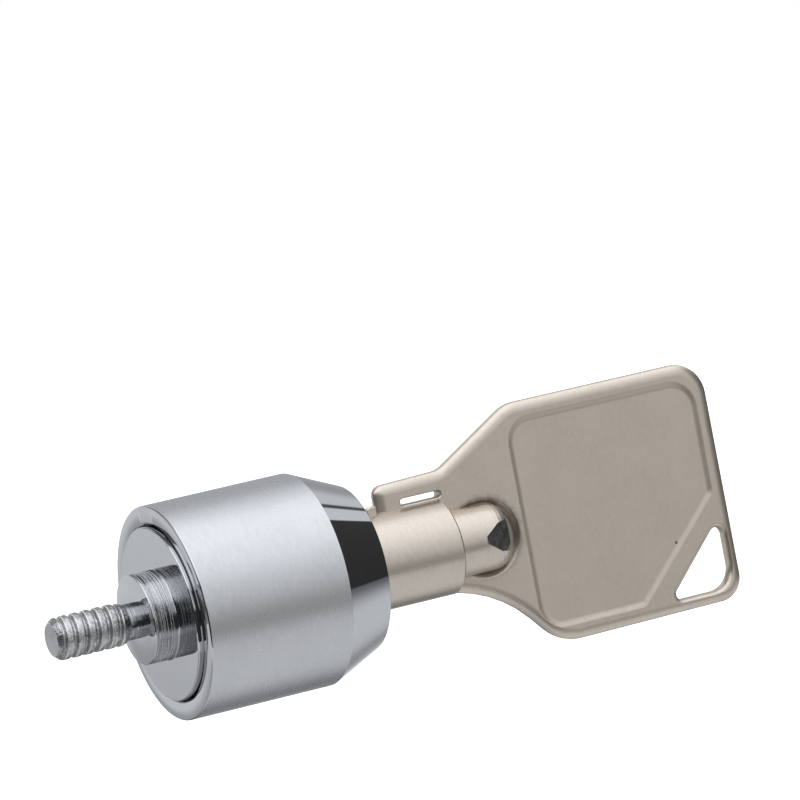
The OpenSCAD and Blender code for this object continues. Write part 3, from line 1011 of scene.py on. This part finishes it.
@dataclass
class Bow:
    """The pressed bow: a rounded plate with a finger, a slit, panels and a keyring hole."""

    edge: float = 0.64
    edge_w: float = 1.1
    edge_steps: int = 8
    neck_l: float = 9.0
    broad_l: float = 22.0
    height: float = 24.2
    finger_h: float = 2.6
    toe_r: float = 0.5
    toe_out: float = 0.48
    slit_low: float = 0.15
    slit_h: float = 0.8
    slit_front: float = 2.6
    slit_edge: float = 0.16
    rim_w: float = 1.9
    panel_depth: float = 0.13
    panel_wall: float = 0.85
    panel_cut: float = 9.4
    cut_wall: float = -0.05
    ring_hole_w: float = 7.1
    ring_hole_edge: float = 0.5
    window_in: float = 2.1
    window_depth: float = 0.5
    window_wall: float = 0.75
    spigot_l: float = 6.1
    spigot_r: float = 3.45
    cup_r: float = 2.1
    cup_l: float = 3.2
    dome_l: float = 1.7
    dome_in: float = 1.1
    dent_at: Level = (54.77, -4.9)

    def __post_init__(self) -> None:
        """Reads the plate's size from the frame."""
        bow, barrel = Reach.of("key_bow"), Reach.of("key_barrel")
        self.half_t = bow.half_width
        self.barrel_r = -barrel.low
        self.spigot_z = barrel.front
        self.shoulder_z = self.spigot_z - self.spigot_l
        self.finger_z = bow.back + self.toe_out + self.toe_r
        self.window_z = self.spigot_z - self.window_in
        self.end_z = self.shoulder_z + self.neck_l + self.broad_l
        self.top, self.bottom = bow.high, bow.high - self.height
        self.bow_z = self.shoulder_z + self.neck_l

    def outline(self) -> Outline:
        """Gives the plate's outline, with its corners fitted to the photograph.

        Returns:
            The outline, from the finger's foot round the bow's lower side and back over the top.
        """
        root = self.barrel_r - 1.45
        finger_y = self.barrel_r + self.finger_h
        return Outline([
            (self.finger_z, -root, 0.7),
            (self.shoulder_z + 0.53 * self.neck_l, -self.barrel_r - 0.9, 13),
            (self.bow_z + 1.4, self.bottom - 0.05, 5),
            (self.end_z, self.bottom + 0.15, 2.4),
            (self.end_z - 0.12, self.top, 3.4),
            (self.bow_z - 0.05, self.top, 4),
            (self.shoulder_z + 0.65, finger_y + 0.1, 2.2),
            (self.finger_z + 0.05, finger_y - 0.1, 1)])

    def rounded_edge(self) -> list[Level]:
        """Lists the plate's levels, with both edges rounded.

        Returns:
            The levels as (across, grow).
        """
        t, r, w = self.half_t, self.edge, self.edge_w
        rise = [(r * (1 - math.cos(a)), w * (math.sin(a) - 1)) for a in quarter(self.edge_steps)]
        return [(-t + z, g) for z, g in rise] + [(t - z, g) for z, g in reversed(rise)]

    def through(self, edge: float) -> list[Level]:
        """Lists the levels of a hole through the plate with eased edges.

        Args:
            edge: Radius of its edges.

        Returns:
            The levels as (across, grow).
        """
        t, over = self.half_t, 0.5
        flare = [(t - edge * (1 - math.sin(a)), edge * (1 - math.cos(a))) for a in quarter(3)]
        side = [(t + over, edge), *reversed(flare)]
        return [(-z, g) for z, g in side] + [(z, g) for z, g in reversed(side)]

    def slit(self) -> bpy.types.Object:
        """Builds the tool that cuts the slit under the finger.

        Returns:
            The tool.
        """
        past, round_r = 0.25, 0.26
        low, high = self.barrel_r + self.slit_low, self.barrel_r + self.slit_h
        front, back = self.finger_z + self.slit_front, self.shoulder_z + past
        corners = [(front, low, round_r), (back, low, round_r), (back, high, round_r), (front, high, round_r)]
        return Outline(corners).tool("slit", self.through(self.slit_edge))

    def ring_hole(self) -> bpy.types.Object:
        """Builds the tool that cuts the keyring hole.

        Returns:
            The tool.
        """
        from_end, from_bottom, taller, front_r, low_r, high_r = 1.05, 1.35, 0.25, 0.55, 2.3, 0.8
        along, up, w = self.end_z - from_end, self.bottom + from_bottom, self.ring_hole_w
        corners = [(along - w, up, front_r), (along, up, low_r), (along, up + w + taller, high_r)]
        return Outline(corners).tool("ring_hole", self.through(self.ring_hole_edge))

    def panel(self, side: int) -> bpy.types.Object:
        """Builds the tool that presses the panel into one side.

        Args:
            side: 1 or -1, the side of the plate.

        Returns:
            The tool.
        """
        front, rear, low, high = 0.45, 0.2, 0.25, 0.22
        z0, z1 = self.bow_z - front, self.end_z - self.rim_w + rear
        y0, y1 = self.bottom + self.rim_w - low, self.top - self.rim_w + high
        inner_r, cut_r, outer_r = 2.4, 0.9, 2.7
        steps, proud, over, wall_in = 8, 0.01, 0.5, 0.6
        rows = []
        for k in range(steps + 2):
            u = min(k / steps, 1.0)
            depth = self.panel_depth * (1 + math.cos(math.pi * u)) / 2
            level = self.half_t - depth + proud * u if k <= steps else self.half_t + over
            cut_in = self.panel_cut - math.sqrt(2) * self.cut_wall * (u - 0.5)
            outline = Outline([(z0, y0, inner_r), (z1 - cut_in, y0, cut_r), (z1, y0 + cut_in, cut_r),
                               (z1, y1, outer_r), (z0, y1, inner_r)])
            rows.append([(side * level, p.y, p.x) for p in outline.points(self.panel_wall * (u - wall_in))])
        return Draft().stack(rows).build("panel")

    def dent(self) -> bpy.types.Object:
        """Builds the tool that leaves a small dent beside the panel's slanting side.

        Returns:
            The tool.
        """
        floor = self.half_t - self.panel_depth
        along, up = self.dent_at
        levels = ((floor - 0.35, 0.06), (floor - 0.3, 0.12), (floor, 0.15), (2 * self.half_t, 0.22))
        angles = even_angles(24)
        rows = [[(-across, up + r * math.sin(a), along + r * math.cos(a)) for a in angles]
                for across, r in levels]
        return Draft().stack(rows).build("dent")

    def barrel_space(self) -> bpy.types.Object:
        """Builds the tool that clears the barrel and its reduced end.

        Returns:
            The tool.
        """
        dome_z, reach_in = self.spigot_z - self.dome_l, 2
        dome = [(self.spigot_r - self.dome_in * (1 - math.cos(a)), dome_z + self.dome_l * math.sin(a))
                for a in quarter(6)]
        profile = [(self.barrel_r, self.finger_z - reach_in), (self.barrel_r, self.shoulder_z),
                   (self.spigot_r, self.shoulder_z), *dome]
        angles = even_angles(144)
        return Draft().stack([circle(r, z, angles) for r, z in profile]).build("barrel_space")

    def window(self, side: int) -> bpy.types.Object:
        """Builds the tool that presses the round recess behind the barrel's end into one side.

        Args:
            side: 1 or -1, the side of the plate.

        Returns:
            The tool.
        """
        steps, wall_in = 6, 0.25
        levels = []
        for k in range(steps + 1):
            u = k / steps
            depth = self.window_depth * (1 + math.cos(math.pi * u)) / 2
            levels.append((self.half_t - depth, self.spigot_r + self.window_wall * (u - wall_in)))
        levels.append((2 * self.half_t, levels[-1][1]))
        angles = even_angles(96)
        rows = [[(side * across, r * math.sin(a), self.window_z + r * math.cos(a)) for a in angles]
                for across, r in levels]
        return Draft().stack(rows).build("window")

    def toe(self) -> bpy.types.Object:
        """Builds the small rounded toe at the finger's foot.

        Returns:
            The toe.
        """
        above, ease = 0.2, 0.15
        up, r, half = self.barrel_r + above, self.toe_r, self.half_t - self.edge
        tip, heel = self.finger_z - self.toe_out - r, self.finger_z + 2 * r
        corners = [(tip, up - r, r), (heel, up - r, r), (heel, up + r, r), (tip, up + r, r)]
        levels = [(-half - ease, -ease), (-half, 0), (half, 0), (half + ease, -ease)]
        return Outline(corners).tool("toe", levels)

    def tongue(self) -> bpy.types.Object:
        """Builds the flat tongue that the split end of the barrel holds.

        Returns:
            The tongue.
        """
        proud, gap, out, heel_r, tip_r = 0.02, 0.1, 0.85, 0.1, 1.3
        half_t = self.half_t - self.window_depth + proud
        half_w = math.sqrt(self.cup_r ** 2 - half_t ** 2) - gap
        start, end = self.spigot_z - self.cup_l + gap, self.spigot_z + out
        corners = [(start, -half_w, heel_r), (end, -half_w, tip_r), (end, half_w, tip_r),
                   (start, half_w, heel_r)]
        return Outline(corners).tool("tongue", [(-half_t, 0), (half_t, 0)])

    def build(self, workshop: Workshop) -> bpy.types.Object:
        """Builds the bow by pressing and cutting one plate.

        Args:
            workshop: Where its materials come from.

        Returns:
            The finished bow.
        """
        piece = self.outline().tool("bow", self.rounded_edge())
        cut(piece, [self.slit(), self.ring_hole(), self.panel(1), self.panel(-1), self.window(1),
                    self.window(-1), self.dent(), self.barrel_space()])
        flat_normals(piece)
        workshop.dress(piece, KEY_NICKEL)
        workshop.deliver(piece, Body.KEY, Slot.KEY, "key_bow")
        # the tongue takes the painted shade of the split end
        for part, finish in ((self.toe(), KEY_NICKEL), (self.tongue(), TONGUE_PAINTED_SHADE)):
            workshop.dress(part, finish)
            workshop.deliver(part, Body.KEY, Slot.KEY)
        return piece


def finish_packed(workshop: Workshop, nodes: dict[str, bpy.types.Object]) -> None:
    """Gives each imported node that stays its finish.

    Args:
        workshop: Where the materials come from.
        nodes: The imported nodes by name.
    """
    finishes = {"key_barrel": BARREL_NICKEL, "pin_housing": PLAIN_BRASS, "rotor": PLAIN_BRASS,
                "thrust_washer": PLAIN_BRONZE, "retaining_ring": SPRING_STEEL, "key_pin": PLAIN_BRASS,
                "driver_pin": SPRING_STEEL, "driver_spring": SPRING_STEEL}
    replaced = {"outer_shell", "drive_hub", "threaded_stud", "key_bow"}
    for name, node in nodes.items():
        if name not in replaced:
            finish = finishes[name.rstrip("0123456789_")]
            workshop.dress(node, finish)
            LOG.info("%s: finish %s", name, finish.name)


@dataclass(frozen=True)
class PhotoCamera:
    """The photograph's camera, fitted to the outlines of the shell, the disc, the barrel and the bow.

    Attributes:
        focal_px: Focal length in pixels of the photograph.
        side_px: Side of the square photograph in pixels.
        rear_face_px: Where the centre of the shell's rear face lies in the photograph.
        distance: Distance to it along the view.
        turn: Angle by which the axis turns away from the picture, in degrees.
        rise: Angle by which the axis rises in the picture, in degrees.
        lean: Angle by which the bow leans away, in degrees.
        sensor: Width of the sensor.
        clip: Nearest and farthest distance that is seen, in metres.
    """

    focal_px: float = 6826.0
    side_px: float = 800.0
    rear_face_px: tuple[float, float] = (163.8, 613.6)
    distance: float = 651.2
    turn: float = 24.43
    rise: float = 12.89
    lean: float = 5.3
    sensor: float = 36.0
    clip: tuple[float, float] = (0.05, 20.0)

    def axes(self) -> Matrix:
        """Gives the row's axes in the camera's frame.

        Returns:
            A matrix that has them as its columns.
        """
        turn, rise, lean = (math.radians(v) for v in (self.turn, self.rise, self.lean))
        key = Vector((math.cos(turn) * math.cos(rise), math.cos(turn) * math.sin(rise), -math.sin(turn)))
        level = Vector((-math.sin(rise), math.cos(rise), 0))
        up = math.cos(lean) * level + math.sin(lean) * key.cross(level)
        across = (-key).cross(up)
        return Matrix((across, -key, up)).transposed()

    def place(self) -> bpy.types.Object:
        """Makes the camera and puts it where the photograph was taken from.

        Returns:
            The camera.
        """
        data = bpy.data.cameras.new("photo_camera")
        camera = bpy.data.objects.new("photo_camera", data)
        bpy.context.scene.collection.objects.link(camera)
        data.sensor_width = self.sensor
        data.lens = data.sensor_width * self.focal_px / self.side_px
        data.clip_start, data.clip_end = self.clip
        offset = [(px - self.side_px / 2) / self.focal_px * self.distance for px in self.rear_face_px]
        origin = Vector((offset[0], -offset[1], -self.distance)) * MM
        turned = self.axes().transposed()
        camera.matrix_world = Matrix.Translation(-(turned @ origin)) @ turned.to_4x4()
        bpy.context.scene.camera = camera
        return camera


class Axis(Enum):
    """Directions in the row frame that the surroundings are measured along.

    HEIGHT pointed up and DEPTH at the backdrop when the photograph was taken. The others are the lock's own
    directions, and SLANTED leans between two of them.
    """

    HEIGHT = (-0.401, 0.0, 0.916)
    DEPTH = (0.912, -0.41, 0.0)
    TO_KEY = (0.0, -1.0, 0.0)
    ACROSS = (1.0, 0.0, 0.0)
    OVER = (0.0, 0.0, 1.0)
    SLANTED = (0.5, 0.0, 1.0)


class Zone(Enum):
    """Parts of the surroundings: all of them, those beside the key and those beyond its end."""

    ALL = "all"
    BESIDE = "beside"
    BEYOND = "beyond"


@dataclass(frozen=True)
class Edge:
    """A soft edge in the surroundings.

    Attributes:
        axis: The axis that it is measured along.
        start: Cosine to the axis at which the edge is 0.
        end: Cosine at which it is 1, which may be the lower one.
    """

    axis: Axis
    start: float
    end: float


@dataclass(frozen=True)
class Patch:
    """A soft patch in the surroundings.

    Attributes:
        share: Share of the level that it takes away.
        zone: The zone that it lies in.
        edges: Its edges, which are multiplied.
    """

    share: float
    zone: Zone
    edges: tuple[Edge, ...]


UNDER_SHADE = Patch(0.8, Zone.ALL, (Edge(Axis.HEIGHT, -0.5, -0.85), Edge(Axis.DEPTH, 0.25, 0.75)))
FAR_SHADE = Patch(0.8, Zone.BEYOND, (Edge(Axis.OVER, -0.46, -0.18), Edge(Axis.OVER, 0.44, 0.16)))
SIDE_SHADE = Patch(0.5, Zone.BESIDE, (Edge(Axis.ACROSS, 0.42, 0.62), Edge(Axis.OVER, -0.1, 0.1)))
REAR_SHADE = Patch(0.4, Zone.ALL, (Edge(Axis.HEIGHT, -0.43, -0.53), Edge(Axis.TO_KEY, -0.1, -0.3)))
LIGHT_SEAM = Patch(0.9, Zone.BEYOND, (
    Edge(Axis.SLANTED, 0.652, 0.668), Edge(Axis.SLANTED, 0.698, 0.682), Edge(Axis.DEPTH, 0.75, 0.7)))
DARK_CORNER = Patch(0.85, Zone.ALL, (
    Edge(Axis.ACROSS, 0.06, 0.2), Edge(Axis.OVER, 0.1, 0.3), Edge(Axis.TO_KEY, -0.63, -0.47),
    Edge(Axis.TO_KEY, -0.12, -0.28)))
ROOM_GLINT = Patch(1.0, Zone.ALL, (
    Edge(Axis.TO_KEY, -0.41, -0.29), Edge(Axis.TO_KEY, 0.41, 0.29), Edge(Axis.OVER, -0.02, 0.12),
    Edge(Axis.ACROSS, -0.5, -0.7)))


class Surroundings:
    """Masks over the directions that are looked in, made in the world's node tree."""

    beyond_from = Edge(Axis.TO_KEY, 0.6, 0.8)
    beside_from = Edge(Axis.TO_KEY, 0.1, 0.3)

    def __init__(self, tree: Tree) -> None:
        """Measures the direction along every axis and weighs the zones.

        Args:
            tree: The world's node tree.
        """
        self.tree = tree
        way = tree.add("ShaderNodeTexCoord").outputs["Generated"]
        self.along = {}
        for axis in Axis:
            node = tree.add("ShaderNodeVectorMath", {0: way, 1: axis.value}, operation="DOT_PRODUCT")
            self.along[axis] = node.outputs["Value"]
        beyond = self.edge(self.beyond_from)
        beside = tree.without(self.edge(self.beside_from), beyond)
        self.zones = {Zone.ALL: 1.0, Zone.BESIDE: beside, Zone.BEYOND: beyond}

    def edge(self, edge: Edge) -> bpy.types.NodeSocket:
        """Gives the mask of one edge."""
        return self.tree.ramp(self.along[edge.axis], edge.start, edge.end)

    def patch(self, patch: Patch) -> bpy.types.NodeSocket:
        """Gives the mask of a patch, as the share that it takes away."""
        return self.tree.product(patch.share, self.zones[patch.zone], *map(self.edge, patch.edges))

    def either(self, zone: Zone, elsewhere: Edge, within: Edge) -> bpy.types.NodeSocket:
        """Gives the mask of one edge, and of another one within a zone."""
        return self.tree.mix(self.zones[zone], self.edge(elsewhere), self.edge(within))

    def level(self, zone: Zone, levels: Level) -> bpy.types.NodeSocket:
        """Gives a level elsewhere and another one within a zone."""
        return self.tree.ramp(self.zones[zone], 0, 1, levels)


@dataclass
class Studio:
    """A plain pale studio: white floor and backdrop, a soft light above and a dark room behind the camera.

    Attributes:
        pale: Level of the white table and backdrop in reflections.
        dark: Level of the room behind the camera, and of its part beside the key.
        lamp: Extra level of the soft light above, and of its part beyond the key.
        under_share: Share of the shade under the object, and of its part beyond the key.
        table_edge: Where the table ends below, and beyond the key.
        room_edge: How far towards the backdrop the dark room reaches, and beyond the key.
        room_top: Where the dark room ends above, and beyond the key.
        soft_room: Lower and upper edge of the room's darker part beside the key.
        lamp_edge: Where the soft light starts, and beside the key.
        lamp_side: Where the soft light fades out sideways.
        red: Factor on the red of the light, and of the dark room.
        blue: Factor on the blue of the light, and of the dark room.
    """

    pale: float = 0.88
    dark: Level = (0.035, 0.35)
    lamp: Level = (0.85, 0.15)
    under_share: Level = (1.0, 0.4)
    table_edge: tuple[Edge, Edge] = (Edge(Axis.HEIGHT, -0.28, -0.26), Edge(Axis.OVER, -0.2, -0.18))
    room_edge: tuple[Edge, Edge] = (Edge(Axis.DEPTH, 0.58, 0.45), Edge(Axis.DEPTH, 1.0, 0.95))
    room_top: tuple[Edge, Edge] = (Edge(Axis.OVER, 0.418, 0.402), Edge(Axis.SLANTED, 0.538, 0.522))
    soft_room: tuple[Edge, Edge] = (Edge(Axis.OVER, -0.53, -0.47), Edge(Axis.OVER, 0.05, -0.35))
    lamp_edge: tuple[Edge, Edge] = (Edge(Axis.OVER, 0.41, 0.6), Edge(Axis.OVER, -0.1, 1.1))
    lamp_side: Edge = Edge(Axis.ACROSS, 0.45, 0.0)
    red: Level = (0.98, 1.03)
    blue: Level = (1.025, 0.95)

    def reflected(self, tree: Tree) -> bpy.types.NodeSocket:
        """Makes the colour that the metal sees in each direction.

        Args:
            tree: The world's node tree.

        Returns:
            The colour.
        """
        around = Surroundings(tree)
        band = tree.product(around.either(Zone.BEYOND, *self.table_edge),
                            around.either(Zone.BEYOND, *self.room_top))
        soft_band = tree.product(*map(around.edge, self.soft_room))
        room = around.either(Zone.BEYOND, *self.room_edge)
        dark = tree.product(tree.mix(around.zones[Zone.BESIDE], band, soft_band), room)
        dark = tree.without(dark, around.patch(ROOM_GLINT))
        lamp = tree.product(around.either(Zone.BESIDE, *self.lamp_edge), around.edge(self.lamp_side),
                            around.level(Zone.BEYOND, self.lamp))
        under = tree.product(around.patch(UNDER_SHADE), around.level(Zone.BEYOND, self.under_share))
        pale = tree.without(self.pale, under)
        for patch in (FAR_SHADE, SIDE_SHADE, REAR_SHADE):
            pale = tree.without(pale, around.patch(patch))
        lit = tree.math("ADD", pale, lamp)
        for patch in (LIGHT_SEAM, DARK_CORNER):
            lit = tree.without(lit, around.patch(patch))
        level = tree.mix(dark, lit, around.level(Zone.BESIDE, self.dark))
        red, blue = (tree.product(level, tree.ramp(dark, 0, 1, tint)) for tint in (self.red, self.blue))
        return tree.add("ShaderNodeCombineColor", {0: red, 1: level, 2: blue}).outputs[0]

    def world(self) -> None:
        """Makes the surroundings: white where the camera looks, and the studio in all reflections."""
        bpy.context.scene.world = bpy.data.worlds.new("pale_studio")
        tree = Tree.fresh(bpy.context.scene.world)
        studio = tree.add("ShaderNodeBackground", {"Color": self.reflected(tree), "Strength": 1.0})
        white = tree.add("ShaderNodeBackground", {"Color": (1, 1, 1, 1), "Strength": 1.0})
        seen = tree.add("ShaderNodeLightPath").outputs["Is Camera Ray"]
        both = tree.add("ShaderNodeMixShader", {0: seen, 1: studio.outputs[0], 2: white.outputs[0]})
        tree.add("ShaderNodeOutputWorld", {0: both.outputs[0]})

    def floor(self) -> bpy.types.Object:
        """Makes the pale floor, which keeps the object's soft shadow.

        Returns:
            The floor.
        """
        drop, half = -30.0, 1500.0
        fibre_scale, low, high, own_glow = 400.0, 0.86, 0.9, 0.6
        draft = Draft()
        draft.cap(draft.row([(-half, drop, -half), (half, drop, -half), (half, drop, half),
                             (-half, drop, half)]))
        floor = draft.build("floor")
        material = bpy.data.materials.new("pale_floor")
        tree = Tree.fresh(material)
        paper = tree.add("ShaderNodeTexNoise", {"Scale": fibre_scale, "Detail": 3.0})
        color = tree.blend(paper.outputs[0], (low, low, low, 1), (high, high, high, 1))
        matt = tree.add("ShaderNodeBsdfDiffuse", {"Color": color})
        lift = tree.product(tree.add("ShaderNodeLightPath").outputs["Is Camera Ray"], own_glow)
        glow = tree.add("ShaderNodeEmission", {"Color": (1, 1, 1, 1), "Strength": lift})
        both = tree.add("ShaderNodeAddShader", {0: matt.outputs[0], 1: glow.outputs[0]})
        tree.add("ShaderNodeOutputMaterial", {0: both.outputs[0]})
        floor.data.materials.append(material)
        floor.visible_glossy = False
        return floor

    def view(self) -> None:
        """Sets the plain view transform."""
        bpy.context.scene.view_settings.view_transform = "Standard"


def main() -> None:
    """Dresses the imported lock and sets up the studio."""
    logging.basicConfig(level=logging.INFO, format="%(name)s: %(message)s")
    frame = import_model()
    PhotoCamera().place()
    studio = Studio()
    studio.view()
    studio.world()
    studio.floor()
    workshop = Workshop()
    for part in (Shell(), Hub(), Stud(), Bow()):
        part.build(workshop)
    finish_packed(workshop, frame["nodes"])


if __name__ == "__main__":
    main()
